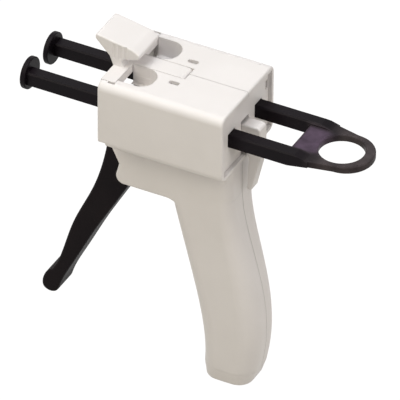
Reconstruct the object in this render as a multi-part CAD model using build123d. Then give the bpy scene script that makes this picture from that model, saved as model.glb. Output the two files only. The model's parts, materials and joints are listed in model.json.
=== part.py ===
from build123d import *
import math
import os

os.makedirs("parts", exist_ok=True)

# Hand-held dispensing gun for twin-barrel cartridges, in millimetres.
# X = 0 is the face that the cartridge flange bears on, and -X is the way the paste is pushed.
# Y = 0 is the mid-plane between the two plunger rods, and Z = 0 is the height of their axes.

# Cartridge seat
barrel_pitch = 26.2
barrel_dia = 24.8
barrel_play = 0.7
flange_slot = 4.0
flange_width = 54.4
lip_thick = 4.8
lip_floor = 4.5

# Head of the housing
head_length = 75.5
head_width = 61.0
head_top = 20.6
head_bottom = -21.5
top_round = 5.0
bottom_round = 5.0
rim_round = 1.2
wall = 3.0
roof_inside = 6.0

# Finger wells in the top, one each side of the lock lever
well_length = 18.0
well_inner = 5.6
well_outer = 23.2
well_floor = 9.0
well_round = 8.0

# Frame below the head, an open channel that the trigger swings in
frame_width = 30.0
frame_bottom = -54.6
frame_floor = 4.0
frame_nose_x = -4.2
frame_nose_r = 5.0
frame_waist_x = 0.2
frame_waist_z = -38.0
frame_top_x = 1.5
back_round = 6.0
front_round = 2.5
channel_open_to = 21.0
channel_end = 47.5

# Grip, as stations down its length
grip_width = 29.4
grip_base = -167.5
cap_height = 8.5
grip_wall = 3.2

# Trigger
trigger_width = 18.0
trigger_round = 1.4
side_play = 0.6
trigger_pin_dia = 5.0
pivot_x = 21.0
hub_r = 8.5
fork_gap = 10.6
squeeze = 26.0
fork_web_r = 1.5

# Drive pawl
pawl_tip_r = 25.5
pawl_reach_x = 8.0
pawl_reach_z = 9.5
pawl_pin_dia = 4.0
pawl_tail = 8.5

# Plunger
rod_pitch = 31.2
rod_width = 7.8
rod_top = 3.9
rod_root = -1.9
tooth_depth = 2.0
rail_width = 1.5
tooth_pitch = 3.5
rod_front = -53.5
web_front = 101.8
web_thick = 4.4
web_round = 1.0
web_length = 6.2
shoulder_length = 8.0
ring_behind_shoulder = 10.9
ring_hole_dia = 25.2
ring_off_centre = 2.5
ring_r = 16.0
disc_dia = 18.5
disc_thick = 3.0
spigot_dia = 4.0
spigot_length = 5.8
chamber_play = 1.05
chamber_depth = 5.5
guide_thick = 3.0
plate_recess = 2.0
guide_play = 0.3

# Release lever at the back, between the rods
release_setback = 10.2
release_z = -14.0
release_pin_dia = 4.0
release_half = 4.0
fin_top = 1.5
fin_reach = 9.3
tab_gap = 2.5
tab_foot = -40.5

# Lock lever over the cartridge slot
lock_hinge_x = 31.7
lock_barrel_r = 3.3
lock_pin_dia = 2.5
lock_pit_half = 12.6
lock_pit_length = 6.0
lock_arm_half = 5.2
lock_coil_half = 2.4
gate_bottom = 14.6
thumb_half = 11.3
thumb_reach = 16.0
thumb_peak = 37.5
thumb_tail = 10.8

# Fits
running = 0.05
clear = 0.3
fixed_fit = 0.02

# Springs and screws
wire_dia = 0.9
coil_pitch = 1.45
close_coil_pitch = 1.35
fine_wire_dia = 0.6
fine_coil_pitch = 1.05
screw_dia = 3.0
screw_head_dia = 6.0
screw_head_height = 2.2
screw_seat = 8.0
screw_reach = 8.0

# Values that follow from the ones above
rear_x = head_length - lip_thick
release_x = rear_x - release_setback
half_barrels = barrel_pitch / 2
shoulder_start = web_front + web_length
shoulder_end = shoulder_start + shoulder_length
ring_x = shoulder_end + ring_behind_shoulder
ring_back_x = ring_x + ring_off_centre
half_pitch = rod_pitch / 2
mouth_r = barrel_dia / 2 + barrel_play
mouth_half = half_barrels + mouth_r
tooth_tip = rod_root - tooth_depth
guide_front = flange_slot + chamber_depth
cavity_front = guide_front + guide_thick
plate_front = rear_x - plate_recess - guide_thick
cavity_half = head_width / 2 - wall
channel_half = trigger_width / 2 + side_play
ear_thick = 3.2
release_coil_turns = 2
release_coil_width = release_coil_turns * coil_pitch + wire_dia
ear_left = (-release_half - 0.6 - ear_thick, -release_half - 0.6)
ear_right = (release_half + 1.2 + release_coil_width, release_half + 1.2 + release_coil_width + ear_thick)
pivot_z = tooth_tip - clear - pawl_tip_r
tip_angle = math.radians(90 - squeeze / 2)
tip_x = pivot_x + pawl_tip_r * math.cos(tip_angle)
tip_z = pivot_z + pawl_tip_r * math.sin(tip_angle)
pawl_x = tip_x + pawl_reach_x
pawl_z = tip_z - pawl_reach_z
web_x = pivot_x + 0.56 * (pawl_x - pivot_x)
web_z = pivot_z + 0.36 * (pawl_z - pivot_z)
floor_top = head_bottom + wall
cap_top = grip_base + cap_height
knee_x = channel_end + 2.5
lock_hinge_z = head_top - lock_barrel_r
lock_coil_r = lock_pin_dia / 2 + clear + fine_wire_dia + clear
nose_x = pawl_x + pawl_tail + 0.4
nose_z = pawl_z - 0.6 - 1.5 - clear - 1.6
trench_floor = nose_z - 1.7 - 0.5


def soften(body, radius, half, wanted):
    """Round the outline edges of a plate on both its side faces, where wanted says so."""
    edges = [e for e in body.edges() if abs(abs(e.center().Y) - half) < 0.01 and wanted(e.center())]
    return fillet(edges, radius)


def side_plate(points, half, rounds=()):
    """A plate with the given X-Z outline, centred on the mid-plane."""
    face = make_face(Polyline(*points, close=True))
    for radius, picks in rounds:
        corners = [c for c in face.vertices() if any(near(c, points[i]) for i in picks)]
        face = fillet(corners, radius)
    return extrude(Plane.XZ * face, amount=half, both=True)


def near(corner, point):
    return math.hypot(corner.X - point[0], corner.Y - point[1]) < 0.01


def block(x0, x1, y0, y1, z0, z1):
    centre = ((x0 + x1) / 2, (y0 + y1) / 2, (z0 + z1) / 2)
    return Pos(*centre) * Box(x1 - x0, y1 - y0, z1 - z0)


def cross_pin(x, z, radius, half, y=0.0):
    """A round bar along Y."""
    return Pos(x, y, z) * Rot(90, 0, 0) * Cylinder(radius, 2 * half)


def along(x0, x1, radius, y, z=0.0):
    """A round bar along X."""
    return Pos((x0 + x1) / 2, y, z) * Rot(0, 90, 0) * Cylinder(radius, x1 - x0)


def head_block():
    face = Rectangle(head_width, head_top - head_bottom)
    top = face.vertices().group_by(Axis.Y)[-1]
    face = fillet(top, top_round)
    low = face.vertices().group_by(Axis.Y)[0]
    face = fillet(low, bottom_round)
    middle = (head_top + head_bottom) / 2
    start = Plane((0, 0, middle), x_dir=(0, 1, 0), z_dir=(1, 0, 0))
    body = extrude(start * face, amount=rear_x)
    body = fillet(body.edges().group_by(Axis.X)[-1], rim_round)
    lip = extrude(start * face, amount=-lip_thick)
    lip = fillet(lip.edges().group_by(Axis.X)[0], rim_round)
    lip_bottom = -mouth_r - lip_floor
    lip -= block(-lip_thick - 1, 0, -head_width, head_width, head_bottom - 1, lip_bottom)
    return body, lip


def mouth():
    """The opening in the lip that the two cartridge barrels drop into."""
    cut = block(-lip_thick - 1, 0, -mouth_half, mouth_half, 0, head_top + 1)
    for side in (-1, 1):
        cut += along(-lip_thick - 1, 0, mouth_r, side * half_barrels)
    return cut


def frame_block():
    back = rear_x - 3.2
    top = head_bottom + 1
    with BuildSketch(Plane.XZ) as side:
        with BuildLine():
            Polyline((frame_top_x, top), (back, top), (back, frame_bottom + 2), (44.0, frame_bottom - 18))
            Spline((44.0, frame_bottom - 18), (38.0, frame_bottom - 6.0), (28.0, frame_bottom),
                   tangents=((-0.25, 1), (-1, 0)))
            Line((28.0, frame_bottom), (frame_nose_x, frame_bottom))
            ThreePointArc((frame_nose_x, frame_bottom), (frame_waist_x, frame_waist_z), (frame_top_x, top))
        make_face()
        fillet(side.vertices().sort_by(Axis.X)[0], frame_nose_r)
    body = extrude(side.sketch, amount=frame_width / 2, both=True)
    body = fillet(body.edges().filter_by(Axis.Z).group_by(Axis.X)[-1], back_round)
    outside = head_bottom - 2
    return soften(body, front_round, frame_width / 2, lambda c: c.X < 40 and c.Z < outside)


def grip_station(z, front, back, width, corner):
    plane = Plane(((front + back) / 2, 0, z), x_dir=(1, 0, 0), z_dir=(0, 0, 1))
    return plane * RectangleRounded(back - front, width, corner)


# Height, front edge, back edge, width and corner round of the grip down its length
grip_stations = (
    (-46.0, 29.0, 67.6, frame_width + 0.1, back_round),
    (-76.0, 35.2, 72.8, (frame_width + grip_width) / 2 + 0.4, 9.0),
    (-104.0, 41.6, 80.0, grip_width + 0.2, 10.5),
    (-130.0, 47.0, 83.2, grip_width, 11.0),
    (cap_top, 49.0, 80.2, grip_width - 0.8, 10.5),
)


def grip_block(inset=0.0, first=0):
    faces = []
    for z, front, back, width, corner in grip_stations[first:]:
        faces.append(grip_station(z, front + inset, back - inset, width - 2 * inset, corner - inset))
    return loft(faces)


def wells():
    cut = None
    x_mid = flange_slot + well_length / 2
    y_mid = (well_inner + well_outer) / 2
    for side in (-1, 1):
        face = Pos(x_mid, side * y_mid) * Rectangle(well_length, well_outer - well_inner)
        rear = face.vertices().group_by(Axis.X)[-1]
        face = fillet(rear, well_round)
        well = extrude(Plane.XY.offset(well_floor) * face, amount=head_top - well_floor + 1)
        cut = well if cut is None else cut + well
    return cut


def rod_windows(x0, x1):
    cut = None
    half = rod_width / 2 + guide_play
    for side in (-1, 1):
        y = side * half_pitch
        hole = block(x0, x1, y - half, y + half, tooth_tip - guide_play, rod_top + guide_play)
        cut = hole if cut is None else cut + hole
    return cut


def head_cavity():
    cut = block(cavity_front, plate_front, -cavity_half, cavity_half, floor_top, roof_inside)
    cut += block(plate_front, rear_x + 1, -cavity_half, cavity_half, floor_top, head_top - wall)
    cut += rod_windows(guide_front - 1, cavity_front + 1)
    for side in (-1, 1):
        cut += along(flange_slot - 1, guide_front, disc_dia / 2 + chamber_play, side * half_barrels)
    return cut


def cartridge_slot():
    slot_bottom = -mouth_r - 1.0
    return block(0, flange_slot, -flange_width / 2, flange_width / 2, slot_bottom, head_top + 1)


def trigger_channel():
    """The space between the cheeks: open in front and below, roofed by the head's floor."""
    front = frame_nose_x - 6
    low = frame_bottom + frame_floor
    cut = block(front, channel_end, -channel_half, channel_half, low, head_bottom)
    cut += block(front, channel_open_to, -channel_half, channel_half, frame_bottom - 1, low + 1)
    cut += block(cavity_front, channel_end, -channel_half, channel_half, head_bottom - 1, floor_top + 1)
    trench = release_half + 0.6
    cut += block(channel_end - 1, release_x - 4, -trench, trench, trench_floor, floor_top + 1)
    return cut


def lock_recess():
    """Seats for the lock lever's arm and hinge barrel, with a pit at each end of its pin."""
    arm_half = lock_arm_half + clear
    barrel_r = lock_barrel_r + clear
    low = lock_hinge_z - barrel_r
    cut = block(flange_slot, lock_hinge_x, -arm_half, arm_half, low, head_top + 1)
    cut += cross_pin(lock_hinge_x, lock_hinge_z, barrel_r, arm_half)
    cut += block(lock_hinge_x - 1, lock_hinge_x + barrel_r, -arm_half, arm_half, lock_hinge_z, head_top + 1)
    for side in (-1, 1):
        y0, y1 = sorted((side * (lock_pit_half - 3.0), side * lock_pit_half))
        x0 = lock_hinge_x - lock_pit_length / 2
        pit = block(x0, x0 + lock_pit_length, y0, y1, low, head_top + 1)
        cut += fillet(pit.edges().filter_by(Axis.Z), 1.2)
    cut += cross_pin(lock_hinge_x, lock_hinge_z, lock_pin_dia / 2 + fixed_fit, lock_pit_half)
    return cut


def release_ears():
    """Two upright ears on the head's floor that carry the release lever's pin."""
    ears = None
    for y0, y1 in (ear_left, ear_right):
        ear = block(release_x - 4.5, release_x + 4.5, y0, y1, floor_top - 0.5, release_z + 4.0)
        ears = ear if ears is None else ears + ear
    return ears - cross_pin(release_x, release_z, release_pin_dia / 2 + fixed_fit, 20)


# Screw places in the X-Z plane, with the outside face of the housing there
screw_places = (
    (58.0, 14.0, head_width / 2),
    (7.6, -17.2, head_width / 2),
    (57.0, -42.0, frame_width / 2),
    (58.0, -92.0, grip_width / 2),
    (65.0, -136.0, grip_width / 2),
)


def screw_wells():
    """Pilot, shank and head clearance of each housing screw, entered from the right side."""
    cut = None
    for x, z, face_y in screw_places:
        pilot = cross_pin(x, z, screw_dia / 2 + fixed_fit, (screw_reach + 0.6) / 2, -(screw_reach + 0.6) / 2)
        shank = cross_pin(x, z, screw_dia / 2 + 0.2, (screw_seat + 0.2) / 2, (screw_seat + 0.2) / 2)
        depth = face_y + 2 - screw_seat
        head = cross_pin(x, z, screw_head_dia / 2 + 0.3, depth / 2, screw_seat + depth / 2)
        tool = pilot + shank + head
        cut = tool if cut is None else cut + tool
    return cut


def screw_bosses():
    """Round posts inside the hollow grip for the screws that pass through it."""
    posts = None
    for x, z, face_y in screw_places[3:]:
        post = cross_pin(x, z, screw_head_dia / 2 + 2.4, grip_width / 2 - grip_wall / 2)
        posts = post if posts is None else posts + post
    return posts


def whole_housing():
    body, lip = head_block()
    shell = body + lip + frame_block() + grip_block()
    shell -= mouth()
    shell -= cartridge_slot()
    shell -= wells()
    shell -= head_cavity()
    shell -= trigger_channel()
    shell -= lock_recess()
    hollow = grip_block(grip_wall, 1)
    hollow -= screw_bosses()
    shell -= hollow
    shell += release_ears()
    shell -= cross_pin(pivot_x, pivot_z, trigger_pin_dia / 2 + fixed_fit, trigger_pin_half())
    shell -= screw_wells()
    return shell


def trigger_pin_half():
    return frame_width / 2 - 1.5


def housing_halves():
    shell = whole_housing()
    big = 400
    left = shell & block(-big, big, -big, 0, -big, big)
    right = shell & block(-big, big, 0, big, -big, big)
    return left, right


def rear_guide_plate():
    """Snap-in plate that closes the back of the head and guides the rods and the release lever."""
    play = 0.2
    half = cavity_half - play
    top = head_top - wall - play
    plate = block(plate_front, rear_x - plate_recess, -half, half, floor_top + play, top)
    plate = fillet(plate.edges().filter_by(Axis.X), 1.6)
    plate -= rod_windows(plate_front - 1, rear_x + 1)
    slot_half = release_half + 0.5
    plate -= block(plate_front - 1, rear_x + 1, -slot_half, slot_half, floor_top - 1, fin_top + 1.6)
    for side in (-1, 1):
        y0, y1 = sorted((side * (half - 3.4), side * (half - 0.9)))
        plate -= block(plate_front - 1, rear_x + 1, y0, y1, 6.4, 12.0)
    return plate


def base_cap():
    """Plug that closes the bottom of the grip, held by a spigot."""
    z, front, back, width, corner = grip_stations[-1]
    lower = (grip_base, front + 1.4, back - 3.0, width - 2.4, corner - 2.0)
    cap = loft([grip_station(*grip_stations[-1]), grip_station(*lower)])
    cap = fillet(cap.faces().sort_by(Axis.Z)[0].edges(), 1.8)
    inset = grip_wall + clear
    spigot = grip_station(z, front + inset, back - inset, width - 2 * inset, corner - inset)
    return cap + extrude(spigot, amount=4.0)


def rack_teeth():
    """Saw teeth under one rod: upright on the side that the pawl pushes, sloped on the other."""
    count = int((web_front - 3 - rod_front - 8) / tooth_pitch)
    points = [(rod_front + 8, rod_root + 0.8)]
    for i in range(count):
        x = rod_front + 8 + i * tooth_pitch
        points.append((x, rod_root))
        points.append((x + tooth_pitch * 0.72, tooth_tip))
        points.append((x + tooth_pitch * 0.94, tooth_tip))
    last = rod_front + 8 + count * tooth_pitch
    points.append((last, rod_root))
    points.append((last, rod_root + 0.8))
    return side_plate(points, rod_width / 2 - rail_width + 0.1)


def plunger_rod():
    """One rod: a channel bar with the rack between its two rails, sloping down to the web behind."""
    low = -web_thick / 2
    points = [
        (rod_front, tooth_tip),
        (rod_front, rod_top),
        (shoulder_start, rod_top),
        (shoulder_end, -low - 0.5),
        (shoulder_end, low + 0.5),
        (web_front + 2, tooth_tip),
    ]
    rod = side_plate(points, rod_width / 2)
    rod = chamfer(rod.edges().filter_by(Axis.X).group_by(Axis.Z)[-1], 0.8)
    groove = rod_width / 2 - rail_width
    rod -= block(rod_front + 8, web_front - 3, -groove, groove, tooth_tip - 1, rod_root)
    rod += rack_teeth()
    rod -= along(rod_front - 1, rod_front + spigot_length + 0.2, spigot_dia / 2 + running, 0)
    return rod


def pull_plate():
    """The web that joins the rods and the finger ring behind it, one flat plate."""
    half = half_pitch + rod_width / 2
    web = Pos((web_front + shoulder_end) / 2, 0) * Rectangle(shoulder_end - web_front, 2 * half)
    neck = Polygon(
        (shoulder_end - 3, half),
        (shoulder_end - 3, -half),
        (ring_back_x, -ring_r),
        (ring_back_x, ring_r),
        align=None,
    )
    face = web + neck + Pos(ring_back_x, 0) * Circle(ring_r)
    face -= Pos(ring_x, 0) * Circle(ring_hole_dia / 2)
    plate = extrude(Plane.XY.offset(-web_thick / 2) * face, amount=web_thick)
    return fillet(plate.faces().sort_by(Axis.Z)[0].edges() + plate.faces().sort_by(Axis.Z)[-1].edges(), web_round)


def double_plunger():
    rod = plunger_rod()
    body = pull_plate()
    for side in (-1, 1):
        body += Pos(0, side * half_pitch, 0) * rod
    return body


def pressure_disc(side):
    """Round foot that pushes one cartridge piston, with a spigot in the rod's end."""
    disc = along(rod_front - disc_thick, rod_front, disc_dia / 2, side * half_barrels)
    disc = fillet(disc.edges().filter_by(GeomType.CIRCLE), 0.6)
    return disc + along(rod_front - 0.5, rod_front + spigot_length, spigot_dia / 2, side * half_pitch)


def trigger():
    """Curved lever: a solid finger blade below and a fork round the spring and pawl above."""
    half = trigger_width / 2
    arm_r = pawl_pin_dia / 2 + 2.4
    with BuildSketch(Plane.XZ) as side:
        with BuildLine():
            Spline(
                (-9.2, -27.0), (-13.4, -49.0), (-20.0, -69.1), (-31.6, -95.0), (-39.0, -118.6), (-45.2, -131.6),
                tangents=((-0.15, -1), (-0.7, -1)),
            )
            Spline((-45.2, -131.6), (-50.4, -138.8), (-49.8, -144.6), (-45.6, -146.4), (-40.6, -142.6))
            Spline((-40.6, -142.6), (-31.5, -122.4), (-18.2, -96.1), (-5.2, -73.0), (11.0, -44.5),
                   tangents=((0.3, 1), (0.6, 1)))
            Line((11.0, -44.5), (pivot_x + 4, pivot_z - hub_r + 1.0))
            Line((pivot_x + 4, pivot_z - hub_r + 1.0), (pivot_x + 4, pivot_z + 4))
            Line((pivot_x + 4, pivot_z + 4), (2.0, head_bottom - 1.2))
            Line((2.0, head_bottom - 1.2), (-9.2, -27.0))
        make_face()
    blade = extrude(side.sketch, amount=half, both=True)
    blade = soften(blade, trigger_round, half, lambda c: c.Z < frame_bottom)
    hub = cross_pin(pivot_x, pivot_z, hub_r, half)
    arm = hull_bar((pivot_x, pivot_z), 6.0, (pawl_x, pawl_z), arm_r, half)
    body = blade + hub + arm
    gap_floor = pivot_z - hub_r - 3.0
    body -= block(9.0, pawl_x + 20, -fork_gap / 2, fork_gap / 2, gap_floor, 0)
    body += cross_pin(web_x, web_z, fork_web_r, half)
    body -= cross_pin(pivot_x, pivot_z, trigger_pin_dia / 2 + running, half + 1)
    body -= cross_pin(pawl_x, pawl_z, pawl_pin_dia / 2 + fixed_fit, half + 1)
    return body


def hull_bar(a, ra, b, rb, half):
    """A bar between two round ends of different size, along the X-Z plane."""
    length = math.hypot(b[0] - a[0], b[1] - a[1])
    heading = math.atan2(b[1] - a[1], b[0] - a[0])
    spread = math.acos((ra - rb) / length)
    points = []
    for centre, radius, sign in ((a, ra, 1), (b, rb, 1), (b, rb, -1), (a, ra, -1)):
        angle = heading + sign * spread
        points.append((centre[0] + radius * math.cos(angle), centre[1] + radius * math.sin(angle)))
    bar = side_plate(points, half)
    return bar + cross_pin(a[0], a[1], ra, half) + cross_pin(b[0], b[1], rb, half)


def drive_pawl():
    """Rocking pawl: a hub on its pin, a wide blade up to both racks and a tail for the release lever."""
    hub_half = fork_gap / 2 - clear
    finger_half = rod_width / 2 - rail_width - 0.4
    blade_half = half_pitch + finger_half
    stem = hull_bar((pawl_x, pawl_z), pawl_pin_dia / 2 + 2.0, (tip_x + 2.2, tip_z - 3.6), 1.7, hub_half)
    points = [
        (tip_x, tip_z),
        (tip_x + 1.3, tip_z - 0.1),
        (tip_x + 5.2, tip_z - 5.2),
        (tip_x + 1.4, tip_z - 5.6),
    ]
    blade = side_plate(points, blade_half)
    between = half_pitch - finger_half
    blade -= block(tip_x - 1, tip_x + 3, -between, between, tip_z - 2.6, tip_z + 1)
    tail = hull_bar((pawl_x, pawl_z), 3.0, (pawl_x + pawl_tail, pawl_z - 0.6), 1.5, release_half)
    body = stem + blade + tail
    pocket_half = (hub_half + 0.4) / 2
    pocket_r = pawl_pin_dia / 2 + clear + wire_dia + 1.1
    body -= cross_pin(pawl_x, pawl_z, pocket_r, pocket_half, hub_half - pocket_half + 0.4)
    return body - cross_pin(pawl_x, pawl_z, pawl_pin_dia / 2 + running, 20)


def release_lever():
    """Thumb lever between the rods: hub and front arm inside, fin and hanging tab outside."""
    outer = rear_x + fin_reach
    inner = rear_x + tab_gap
    points = [
        (release_x - 2.0, release_z + 3.4),
        (release_x + 6.0, fin_top - 1.0),
        (release_x + 9.6, fin_top),
        (outer, fin_top),
        (outer, -18.0),
        (inner + 1.6, tab_foot),
        (inner - 1.0, tab_foot),
        (inner, -19.5),
        (rear_x + 0.6, -15.6),
        (release_x, release_z - 3.4),
    ]
    body = side_plate(points, release_half, ((2.5, (3,)), (4.0, (4,)), (0.9, (5, 6)), (1.6, (7,))))
    body = soften(body, 0.8, release_half, lambda c: c.X > rear_x + tab_gap / 2)
    body += cross_pin(release_x, release_z, release_pin_dia / 2 + 2.0, release_half)
    body += hull_bar((release_x, release_z), 3.4, (knee_x, nose_z), 1.7, release_half - 0.4)
    body += hull_bar((knee_x, nose_z), 1.7, (nose_x, nose_z), 1.4, release_half - 0.4)
    return body - cross_pin(release_x, release_z, release_pin_dia / 2 + running, 20)


def lock_lever():
    """Lock lever: a gate across the slot, an arm back to its hinge and a raised thumb piece."""
    gate_half = mouth_half - clear
    gate = block(-lip_thick, flange_slot - clear, -gate_half, gate_half, gate_bottom, head_top)
    gate = chamfer(gate.edges().filter_by(Axis.Y).sort_by(Axis.Z)[:2].sort_by(Axis.X)[-1], 0.6)
    arm_low = lock_hinge_z - 0.6
    arm = block(0, lock_hinge_x, -lock_arm_half, lock_arm_half, arm_low, head_top)
    barrel = cross_pin(lock_hinge_x, lock_hinge_z, lock_barrel_r, lock_arm_half)
    points = [
        (-lip_thick, head_top - 1),
        (-lip_thick - 2.0, head_top + 4.2),
        (-thumb_reach, thumb_peak - 3.2),
        (-thumb_reach, thumb_peak),
        (6.6, thumb_peak - 3.9),
        (thumb_tail, thumb_peak - 6.6),
        (thumb_tail - 0.6, thumb_peak - 9.8),
        (-0.4, head_top + 4.6),
        (1.6, head_top - 1),
    ]
    thumb = side_plate(points, thumb_half, ((1.2, (2, 3)), (6.0, (4,)), (1.4, (5, 6)), (2.0, (7,))))
    thumb = fillet(thumb.edges().filter_by(lambda e: abs(e.center().Y) > thumb_half - 0.01
                                           and e.center().Z > head_top + 3), 0.8)
    for i in range(4):
        x = -4.6 + i * 3.6
        for side in (-1, 1):
            y = side * (thumb_half + 0.6)
            thumb -= Pos(x, y, thumb_peak - 8) * Cylinder(1.1, 9)
    body = gate + arm + barrel + thumb
    body -= cross_pin(lock_hinge_x, lock_hinge_z, lock_coil_r, lock_coil_half)
    below = lock_hinge_z - lock_barrel_r - 1
    body -= block(lock_hinge_x - 5, lock_hinge_x + lock_coil_r, -lock_coil_half, lock_coil_half, below, arm_low)
    return body - cross_pin(lock_hinge_x, lock_hinge_z, lock_pin_dia / 2 + running, 20)


def plain_pin(x, z, dia, half, y=0.0):
    pin = cross_pin(x, z, dia / 2, half, y)
    return chamfer(pin.edges().filter_by(GeomType.CIRCLE), 0.4)


def torsion_spring(place, inner_dia, wire, pitch, turns, legs):
    """A wound spring round a pin, with a straight leg at each end.

    Each leg is an angle round the pin, where it leaves the coil, and a length.
    """
    mean_r = inner_dia / 2 + clear + wire / 2
    (first, first_length), (last, last_length) = legs
    height = pitch * (turns + ((last - first) % 360) / 360)
    coil = Helix(pitch=pitch, height=height, radius=mean_r)
    lead = Line(coil @ 0 - (coil % 0) * first_length, coil @ 0)
    tail = Line(coil @ 1, coil @ 1 + (coil % 1) * last_length)
    path = Wire([lead.edge(), coil.edge(), tail.edge()])
    body = sweep(Plane(path @ 0, z_dir=path % 0) * Circle(wire / 2), path=path)
    print("least gap between the turns", round(pitch - wire, 3))
    x, y, z = place
    return Pos(x, y, z) * Rot(90, 0, 0) * Pos(0, 0, -height / 2) * Rot(0, 0, first) * body


def brake_spring():
    """Bowed leaf in the roof of the head that drags on both rods so that they stay put."""
    mid = (cavity_front + plate_front) / 2 + 6
    span = 12.0
    thick = 0.5
    high = roof_inside - thick
    low = rod_top + clear
    with BuildSketch(Plane.XZ) as side:
        with BuildLine():
            ThreePointArc((mid - span, high), (mid, low), (mid + span, high))
            Line((mid + span, high), (mid + span, high + thick))
            ThreePointArc((mid + span, high + thick), (mid, low + thick), (mid - span, high + thick))
            Line((mid - span, high + thick), (mid - span, high))
        make_face()
    return extrude(side.sketch, amount=half_pitch + rod_width / 2, both=True)


def housing_screws():
    """Five like screws that hold the two housing halves together."""
    screws = []
    for x, z, face_y in screw_places:
        length = screw_seat + screw_reach
        shank = cross_pin(x, z, screw_dia / 2, length / 2, (screw_seat - screw_reach) / 2)
        head = cross_pin(x, z, screw_head_dia / 2, screw_head_height / 2, screw_seat + screw_head_height / 2)
        drive = cross_pin(x, z, 1.2, 0.7, screw_seat + screw_head_height)
        screws.append(shank + head - drive)
    return Compound(children=screws)


left_half, right_half = housing_halves()
release_pin_half = (ear_right[1] - ear_left[0]) / 2 - 0.2
release_pin_y = (ear_right[1] + ear_left[0]) / 2
release_coil_y = release_half + 0.6 + release_coil_width / 2
nodes = {
    "housing_left": left_half,
    "housing_right": right_half,
    "rear_guide_plate": rear_guide_plate(),
    "grip_base_cap": base_cap(),
    "double_plunger": double_plunger(),
    "pressure_disc_left": pressure_disc(-1),
    "pressure_disc_right": pressure_disc(1),
    "trigger": trigger(),
    "trigger_pin": plain_pin(pivot_x, pivot_z, trigger_pin_dia, trigger_pin_half() - 0.1),
    "trigger_spring": torsion_spring(
        (pivot_x, 0, pivot_z), trigger_pin_dia, wire_dia, coil_pitch, 3, ((270, 11.6), (225, 25.0))
    ),
    "drive_pawl": drive_pawl(),
    "pawl_pin": plain_pin(pawl_x, pawl_z, pawl_pin_dia, trigger_width / 2 - 0.2),
    "pawl_spring": torsion_spring(
        (pawl_x, 2.2, pawl_z), pawl_pin_dia, wire_dia, close_coil_pitch, 2, ((327, 11.5), (40, 1.0))
    ),
    "release_lever": release_lever(),
    "release_pin": plain_pin(release_x, release_z, release_pin_dia, release_pin_half, release_pin_y),
    "release_spring": torsion_spring(
        (release_x, release_coil_y, release_z), release_pin_dia, wire_dia, coil_pitch,
        release_coil_turns - 1, ((276, 8), (100, 3)),
    ),
    "lock_lever": lock_lever(),
    "lock_pin": plain_pin(lock_hinge_x, lock_hinge_z, lock_pin_dia, lock_pit_half - 0.2),
    "lock_spring": torsion_spring(
        (lock_hinge_x, 0, lock_hinge_z), lock_pin_dia, fine_wire_dia, fine_coil_pitch, 2, ((268, 6), (80, 0.6))
    ),
    "brake_spring": brake_spring(),
    "housing_screws": housing_screws(),
}
for name, shape in nodes.items():
    export_step(shape, f"parts/{name}.step")
print("stroke per squeeze", round(2 * pawl_tip_r * math.sin(math.radians(squeeze / 2)), 2))
print("trigger pivot", round(pivot_x, 3), round(pivot_z, 3), "pawl pin", round(pawl_x, 3), round(pawl_z, 3))
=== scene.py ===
import bpy
import json
import math
from mathutils import Matrix, Vector

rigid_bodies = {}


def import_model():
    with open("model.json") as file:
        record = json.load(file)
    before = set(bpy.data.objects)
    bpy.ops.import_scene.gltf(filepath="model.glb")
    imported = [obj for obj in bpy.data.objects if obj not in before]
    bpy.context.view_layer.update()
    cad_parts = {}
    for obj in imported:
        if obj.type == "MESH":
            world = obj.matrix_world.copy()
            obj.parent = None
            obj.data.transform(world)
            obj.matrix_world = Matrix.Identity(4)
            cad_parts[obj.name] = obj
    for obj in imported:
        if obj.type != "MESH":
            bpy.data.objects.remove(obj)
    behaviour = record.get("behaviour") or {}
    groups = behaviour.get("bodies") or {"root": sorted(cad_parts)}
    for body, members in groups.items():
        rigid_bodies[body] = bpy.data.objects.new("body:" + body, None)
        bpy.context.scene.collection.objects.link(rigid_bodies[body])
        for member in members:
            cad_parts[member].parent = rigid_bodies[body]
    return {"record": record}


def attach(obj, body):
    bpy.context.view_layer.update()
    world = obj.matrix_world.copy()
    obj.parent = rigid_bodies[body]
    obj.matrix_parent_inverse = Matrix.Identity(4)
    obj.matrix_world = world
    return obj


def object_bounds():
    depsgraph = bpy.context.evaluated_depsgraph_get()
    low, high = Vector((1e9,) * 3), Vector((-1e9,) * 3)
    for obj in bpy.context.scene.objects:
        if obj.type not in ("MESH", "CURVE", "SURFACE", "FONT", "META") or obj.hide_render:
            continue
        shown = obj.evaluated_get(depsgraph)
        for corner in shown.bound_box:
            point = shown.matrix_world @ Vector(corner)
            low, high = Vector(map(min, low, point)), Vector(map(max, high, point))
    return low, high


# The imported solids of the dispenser. Everything below is in metres in their frame:
# the cartridge seats at the origin, the paste is pushed towards -X, and +Z is up.
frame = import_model()
cad_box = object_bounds()
solids = bpy.data.objects


# Photograph's view
# The tool is seen from its left rear and from above, through a long lens, and stands upright
# on its grip with the trigger towards the left of the picture.
view_turn = math.radians(27.35)
view_height = math.radians(36.0)
view_roll = math.radians(0.38)
view_distance = 5.0
view_width = 0.2159
aim = Vector((0.0427, -0.0014, -0.0592))

level = Vector((math.cos(view_turn), math.sin(view_turn), 0))
ahead = Vector((-math.sin(view_turn), math.cos(view_turn), 0))
upright = ahead * math.sin(view_height) + Vector((0, 0, 1)) * math.cos(view_height)
right = level * math.cos(view_roll) + upright * math.sin(view_roll)
up = upright * math.cos(view_roll) - level * math.sin(view_roll)
towards_eye = right.cross(up)
lens = bpy.data.cameras.new("photo_camera")
lens.sensor_width = 36.0
lens.lens = lens.sensor_width * view_distance / view_width
camera = bpy.data.objects.new("photo_camera", lens)
bpy.context.scene.collection.objects.link(camera)
camera.matrix_world = Matrix.Translation(aim + towards_eye * view_distance) @ Matrix((
    (right.x, up.x, towards_eye.x, 0),
    (right.y, up.y, towards_eye.y, 0),
    (right.z, up.z, towards_eye.z, 0),
    (0, 0, 0, 1),
))
bpy.context.scene.camera = camera


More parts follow.
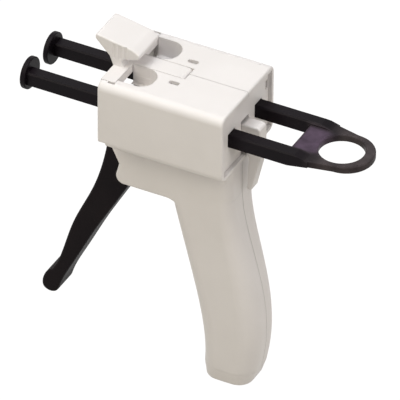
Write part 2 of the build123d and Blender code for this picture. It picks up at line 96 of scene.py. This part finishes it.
# Housing
# Two halves moulded in a pale, slightly warm engineering plastic and screwed together from the
# right. The mould is spark-finished, so the outside is matt with a very fine even grain.
def fade(tree, measure, start, end, low=0.0, high=1.0):
    """A value that goes from low to high while the measure goes from start to end."""
    step = tree.nodes.new("ShaderNodeMapRange")
    step.inputs["From Min"].default_value = start
    step.inputs["From Max"].default_value = end
    step.inputs["To Min"].default_value = low
    step.inputs["To Max"].default_value = high
    tree.links.new(measure, step.inputs["Value"])
    return step.outputs["Result"]


def reckon(tree, operation, *values):
    """The outcome of one sum on one or two values."""
    step = tree.nodes.new("ShaderNodeMath")
    step.operation = operation
    for socket, value in zip(step.inputs, values):
        tree.links.new(value, socket)
    return step.outputs["Value"]


def blend_colours(tree, share, first, second):
    """The first colour where the share is nought and the second where it is one."""
    step = tree.nodes.new("ShaderNodeMix")
    step.data_type = "RGBA"
    tree.links.new(share, step.inputs["Factor"])
    for socket_name, colour in (("A", first), ("B", second)):
        if isinstance(colour, tuple):
            step.inputs[socket_name].default_value = (*colour, 1)
        else:
            tree.links.new(colour, step.inputs[socket_name])
    return step.outputs["Result"]


def moulded_plastic(name, colour, shade, roughness, shine, grain, grain_depth, edge_round):
    """Plain moulded plastic: a fine mould grain, broken edges, and colour that drifts a little."""
    material = bpy.data.materials.new(name)
    material.use_nodes = True
    tree = material.node_tree
    nodes, links = tree.nodes, tree.links
    shader = nodes["Principled BSDF"]
    shader.inputs["Specular IOR Level"].default_value = shine
    broken_edge = nodes.new("ShaderNodeBevel")
    broken_edge.samples = 6
    broken_edge.inputs["Radius"].default_value = edge_round
    place = nodes.new("ShaderNodeTexCoord")
    drift = nodes.new("ShaderNodeTexNoise")
    drift.inputs["Scale"].default_value = 38.0
    drift.inputs["Detail"].default_value = 3.0
    tone = nodes.new("ShaderNodeValToRGB")
    tone.color_ramp.elements[0].position = 0.35
    tone.color_ramp.elements[0].color = (*shade, 1)
    tone.color_ramp.elements[1].position = 0.68
    tone.color_ramp.elements[1].color = (*colour, 1)
    spark = nodes.new("ShaderNodeTexNoise")
    spark.inputs["Scale"].default_value = grain
    spark.inputs["Detail"].default_value = 4.0
    bump = nodes.new("ShaderNodeBump")
    bump.inputs["Strength"].default_value = 0.35
    bump.inputs["Distance"].default_value = grain_depth
    gloss = fade(tree, drift.outputs["Fac"], 0.0, 1.0, roughness - 0.06, roughness + 0.06)
    links.new(place.outputs["Object"], drift.inputs["Vector"])
    links.new(place.outputs["Object"], spark.inputs["Vector"])
    links.new(drift.outputs["Fac"], tone.inputs["Fac"])
    links.new(tone.outputs["Color"], shader.inputs["Base Color"])
    links.new(gloss, shader.inputs["Roughness"])
    links.new(spark.outputs["Fac"], bump.inputs["Height"])
    links.new(broken_edge.outputs["Normal"], bump.inputs["Normal"])
    links.new(bump.outputs["Normal"], shader.inputs["Normal"])
    return material


def finish_with(material, *names):
    """The material on each named solid, in place of its plain one."""
    for name in names:
        mesh = solids[name].data
        mesh.materials.clear()
        mesh.materials.append(material)


pale = moulded_plastic(
    "pale_plastic", colour=(0.80, 0.772, 0.763), shade=(0.77, 0.742, 0.73), roughness=0.45, shine=0.5,
    grain=2600.0, grain_depth=0.00006, edge_round=0.0006,
)

# The halves meet on the mid-plane in a hairline that is a little sunk and holds a little dirt.
parting_line_half = 0.00008
parting_line_fade = 0.00026
parting_line_depth = 0.0001
parting_line_colour = (0.66, 0.63, 0.615)

pale_halves = pale.copy()
pale_halves.name = "pale_plastic_seamed"
halves_tree = pale_halves.node_tree
halves_shader = halves_tree.nodes["Principled BSDF"]
halves_spot = halves_tree.nodes["Texture Coordinate"].outputs["Object"]
halves_place = halves_tree.nodes.new("ShaderNodeSeparateXYZ")
halves_tree.links.new(halves_spot, halves_place.inputs["Vector"])
off_seam = reckon(halves_tree, "ABSOLUTE", halves_place.outputs["Y"])
away = fade(halves_tree, off_seam, parting_line_half, parting_line_fade)
moulded_tone = halves_tree.nodes["Color Ramp"].outputs["Color"]
seam_tone = blend_colours(halves_tree, away, parting_line_colour, moulded_tone)
seam_sunk = halves_tree.nodes.new("ShaderNodeBump")
seam_sunk.inputs["Distance"].default_value = parting_line_depth
halves_tree.links.new(seam_tone, halves_shader.inputs["Base Color"])
halves_tree.links.new(away, seam_sunk.inputs["Height"])
halves_tree.links.new(halves_tree.nodes["Bump"].outputs["Normal"], seam_sunk.inputs["Normal"])
halves_tree.links.new(seam_sunk.outputs["Normal"], halves_shader.inputs["Normal"])
finish_with(pale_halves, "housing_left", "housing_right")


# Front corner webs
# Each cheek of the frame runs forward at the top to meet the front lip of the head, beside the
# trigger. These two corners belong to the housing mouldings and sit flush with the cheeks.
corner_outer = 0.01499
corner_inner = 0.00965
corner_edge_round = 0.0005
corner_front = -0.0046
corner_back = 0.0030
corner_top = -0.0174
corner_outline = (
    (corner_front, corner_top), (corner_back, corner_top), (corner_back, -0.0400),
    (0.0010, -0.0402), (-0.0034, -0.0312), (corner_front, -0.0284),
)
count = len(corner_outline)
corner_walls = [(i, (i + 1) % count, count + (i + 1) % count, count + i) for i in range(count)]
corner_faces = corner_walls + [tuple(range(count)), tuple(range(2 * count - 1, count - 1, -1))]
for side_name, side in (("left", -1), ("right", 1)):
    corner_points = [(x, side * y, z) for y in (corner_inner, corner_outer) for x, z in corner_outline]
    corner_mesh = bpy.data.meshes.new(f"front_corner_{side_name}")
    corner_mesh.from_pydata(corner_points, [], corner_faces)
    corner_mesh.validate()
    corner_mesh.materials.append(pale)
    corner = bpy.data.objects.new(f"front_corner_{side_name}", corner_mesh)
    bpy.context.scene.collection.objects.link(corner)
    softened = corner.modifiers.new("softened", "BEVEL")
    softened.width = corner_edge_round
    softened.segments = 3
    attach(corner, "housing")


# Rear guide plate and grip cap
# Loose mouldings of the same pale plastic. The plate snaps into the back of the head round the
# rods, and the cap plugs the bottom of the grip.
finish_with(pale, "rear_guide_plate", "grip_base_cap")


# Lock and release levers
# Both levers come from the same pale plastic as the housing.
finish_with(pale, "lock_lever", "release_lever")


# Double plunger
# One moulding of black glass-filled plastic: two toothed rods, the web and the finger ring,
# with a pressed-in foot disc at the front of each rod. A paler grey is painted on the ring and a
# slightly purple one on the web between the rods, as painted sheen where light glances off them.
black = moulded_plastic(
    "black_plastic", colour=(0.007, 0.0045, 0.0065), shade=(0.005, 0.0035, 0.005), roughness=0.42,
    shine=0.08, grain=1900.0, grain_depth=0.00008, edge_round=0.0004,
)
finish_with(black, "pressure_disc_left", "pressure_disc_right")

# Painted sheen, by distance ahead of the ring's centre and by distance from the mid-plane
finger_ring = next(mount for mount in frame["record"]["mounts"] if mount["name"] == "finger_ring")
ring_x = finger_ring["pos_m"][0]
web_sheen_starts = ring_x - 0.0279
web_sheen_full = ring_x - 0.0229
web_sheen_fades = ring_x - 0.0129
web_sheen_ends = ring_x - 0.0059
web_sheen_half = 0.0095
web_sheen_half_ends = 0.0135
ring_sheen_starts = ring_x - 0.0149
ring_sheen_full = ring_x - 0.0029
ring_sheen_share = 0.75
# Colours of the painted sheen on the web and of the painted highlight on the ring
web_sheen_colour = (0.092, 0.063, 0.098)
ring_sheen_colour = (0.082, 0.068, 0.070)

sheen_black = black.copy()
sheen_black.name = "rubbed_black"
sheen_tree = sheen_black.node_tree
sheen_place = sheen_tree.nodes["Texture Coordinate"].outputs["Object"]
along = sheen_tree.nodes.new("ShaderNodeSeparateXYZ")
sheen_tree.links.new(sheen_place, along.inputs["Vector"])
sheen_patches = sheen_tree.nodes.new("ShaderNodeTexNoise")
sheen_patches.inputs["Scale"].default_value = 160.0
sheen_patches.inputs["Detail"].default_value = 4.0
sheen_tree.links.new(sheen_place, sheen_patches.inputs["Vector"])
behind_window = fade(sheen_tree, along.outputs["X"], web_sheen_starts, web_sheen_full)
before_ring = fade(sheen_tree, along.outputs["X"], web_sheen_fades, web_sheen_ends, 1.0, 0.0)
off_centre = reckon(sheen_tree, "ABSOLUTE", along.outputs["Y"])
between_rods = fade(sheen_tree, off_centre, web_sheen_half, web_sheen_half_ends, 1.0, 0.0)
web_length = reckon(sheen_tree, "MULTIPLY", behind_window, before_ring)
on_web = reckon(sheen_tree, "MULTIPLY", web_length, between_rods)
on_ring = fade(sheen_tree, along.outputs["X"], ring_sheen_starts, ring_sheen_full, 0.0, ring_sheen_share)
sheen_zone = reckon(sheen_tree, "MAXIMUM", on_web, on_ring)
sheen_patchiness = fade(sheen_tree, sheen_patches.outputs["Fac"], 0.3, 0.7, 0.45, 1.0)
# Painted sheen: the web and the ring are lightened in patches to stand for light glancing off them
painted_sheen = reckon(sheen_tree, "MULTIPLY", sheen_zone, sheen_patchiness)
sheen_colour = blend_colours(sheen_tree, on_web, ring_sheen_colour, web_sheen_colour)
black_tone = sheen_tree.nodes["Color Ramp"].outputs["Color"]
sheen_tone = blend_colours(sheen_tree, painted_sheen, black_tone, sheen_colour)
sheen_tree.links.new(sheen_tone, sheen_tree.nodes["Principled BSDF"].inputs["Base Color"])
finish_with(sheen_black, "double_plunger")


# Trigger
# Black glass-filled plastic like the plunger, a little duller from the hand.
grip_black = moulded_plastic(
    "trigger_black", colour=(0.012, 0.009, 0.010), shade=(0.008, 0.006, 0.007), roughness=0.5,
    shine=0.05, grain=1900.0, grain_depth=0.00008, edge_round=0.0004,
)
finish_with(grip_black, "trigger")


# Steel parts
# Cut pins, wound springs, a leaf spring, a stamped pawl and pan-head screws, all bright steel.
def bright_steel(name, roughness):
    """Bright steel with fine drawn lines that run lengthways."""
    material = bpy.data.materials.new(name)
    material.use_nodes = True
    nodes, links = material.node_tree.nodes, material.node_tree.links
    shader = nodes["Principled BSDF"]
    shader.inputs["Metallic"].default_value = 1.0
    place = nodes.new("ShaderNodeTexCoord")
    stretch = nodes.new("ShaderNodeMapping")
    stretch.inputs["Scale"].default_value = (300, 3000, 3000)
    lines = nodes.new("ShaderNodeTexNoise")
    lines.inputs["Scale"].default_value = 1.0
    tone = nodes.new("ShaderNodeValToRGB")
    tone.color_ramp.elements[0].color = (0.50, 0.50, 0.52, 1)
    tone.color_ramp.elements[1].color = (0.68, 0.68, 0.70, 1)
    gloss = fade(material.node_tree, lines.outputs["Fac"], 0.0, 1.0, roughness - 0.08, roughness + 0.08)
    links.new(place.outputs["Object"], stretch.inputs["Vector"])
    links.new(stretch.outputs["Vector"], lines.inputs["Vector"])
    links.new(lines.outputs["Fac"], tone.inputs["Fac"])
    links.new(tone.outputs["Color"], shader.inputs["Base Color"])
    links.new(gloss, shader.inputs["Roughness"])
    return material


steel = bright_steel("bright_steel", 0.3)
finish_with(
    steel, "trigger_pin", "trigger_spring", "drive_pawl", "pawl_pin", "pawl_spring", "release_pin",
    "release_spring", "lock_pin", "lock_spring", "brake_spring", "housing_screws",
)


# Floor and light
# A wide pale table under the grip, one broad lamp above the tool and two weaker ones beside it.
# The camera, mirrors and clear plastic see a white studio, and the table keeps a soft shadow.
def white_where_looked_at(tree):
    """One where the camera looks, directly, in a reflection or through something clear."""
    path = tree.nodes.new("ShaderNodeLightPath")
    indirectly = reckon(tree, "MAXIMUM", path.outputs["Is Glossy Ray"], path.outputs["Is Transmission Ray"])
    return reckon(tree, "MAXIMUM", path.outputs["Is Camera Ray"], indirectly)


table_reach = 3.0
table_z = cad_box[0][2] - 0.0002
table_colour = (0.52, 0.485, 0.42)
table_glow = 1.12
table_glow_share = 0.9

table_mesh = bpy.data.meshes.new("table")
table_corners = [
    (x * table_reach, y * table_reach, table_z) for x, y in ((-1, -1), (1, -1), (1, 1), (-1, 1))
]
table_mesh.from_pydata(table_corners, [], [(0, 1, 2, 3)])
table = bpy.data.objects.new("table", table_mesh)
bpy.context.scene.collection.objects.link(table)
table_finish = bpy.data.materials.new("table_white")
table_finish.use_nodes = True
table_tree = table_finish.node_tree
card = table_tree.nodes["Principled BSDF"]
card.inputs["Base Color"].default_value = (*table_colour, 1)
card.inputs["Roughness"].default_value = 0.9
card.inputs["Specular IOR Level"].default_value = 0.1
glow = table_tree.nodes.new("ShaderNodeEmission")
glow.inputs["Strength"].default_value = table_glow
glow_share = fade(table_tree, white_where_looked_at(table_tree), 0.0, 1.0, 0.0, table_glow_share)
card_or_glow = table_tree.nodes.new("ShaderNodeMixShader")
table_tree.links.new(glow_share, card_or_glow.inputs["Fac"])
table_tree.links.new(card.outputs["BSDF"], card_or_glow.inputs[1])
table_tree.links.new(glow.outputs["Emission"], card_or_glow.inputs[2])
table_tree.links.new(card_or_glow.outputs["Shader"], table_tree.nodes["Material Output"].inputs["Surface"])
table_mesh.materials.append(table_finish)


def soft_lamp(name, place, power, colour):
    """A round lamp 0.8 m across, turned to the middle of the tool."""
    lamp = bpy.data.lights.new(name, "AREA")
    lamp.shape = "DISK"
    lamp.size = 0.8
    lamp.energy = power
    lamp.color = colour
    holder = bpy.data.objects.new(name, lamp)
    bpy.context.scene.collection.objects.link(holder)
    holder.location = place
    middle_of_tool = Vector((0.03, 0, -0.05))
    holder.rotation_euler = (middle_of_tool - Vector(place)).to_track_quat("-Z", "Y").to_euler()


soft_lamp("key_lamp", (-0.2, -0.1, 1.4), 10.1, (0.94, 0.965, 1.0))
soft_lamp("left_fill", (-0.45, -0.94, 1.0), 6.8, (1.0, 0.93, 0.77))
soft_lamp("right_fill", (1.15, -0.25, 0.75), 6.0, (1.0, 0.95, 0.90))

studio_light = 0.35
world = bpy.data.worlds.new("studio")
bpy.context.scene.world = world
world.use_nodes = True
world_tree = world.node_tree
walls = world_tree.nodes["Background"]
walls.inputs["Color"].default_value = (1, 1, 1, 1)
walls.inputs["Strength"].default_value = studio_light
backdrop = world_tree.nodes.new("ShaderNodeBackground")
backdrop.inputs["Color"].default_value = (1, 1, 1, 1)
walls_or_backdrop = world_tree.nodes.new("ShaderNodeMixShader")
world_tree.links.new(white_where_looked_at(world_tree), walls_or_backdrop.inputs["Fac"])
world_tree.links.new(walls.outputs["Background"], walls_or_backdrop.inputs[1])
world_tree.links.new(backdrop.outputs["Background"], walls_or_backdrop.inputs[2])
world_tree.links.new(walls_or_backdrop.outputs["Shader"], world_tree.nodes["World Output"].inputs["Surface"])
bpy.context.scene.view_settings.view_transform = "Standard"
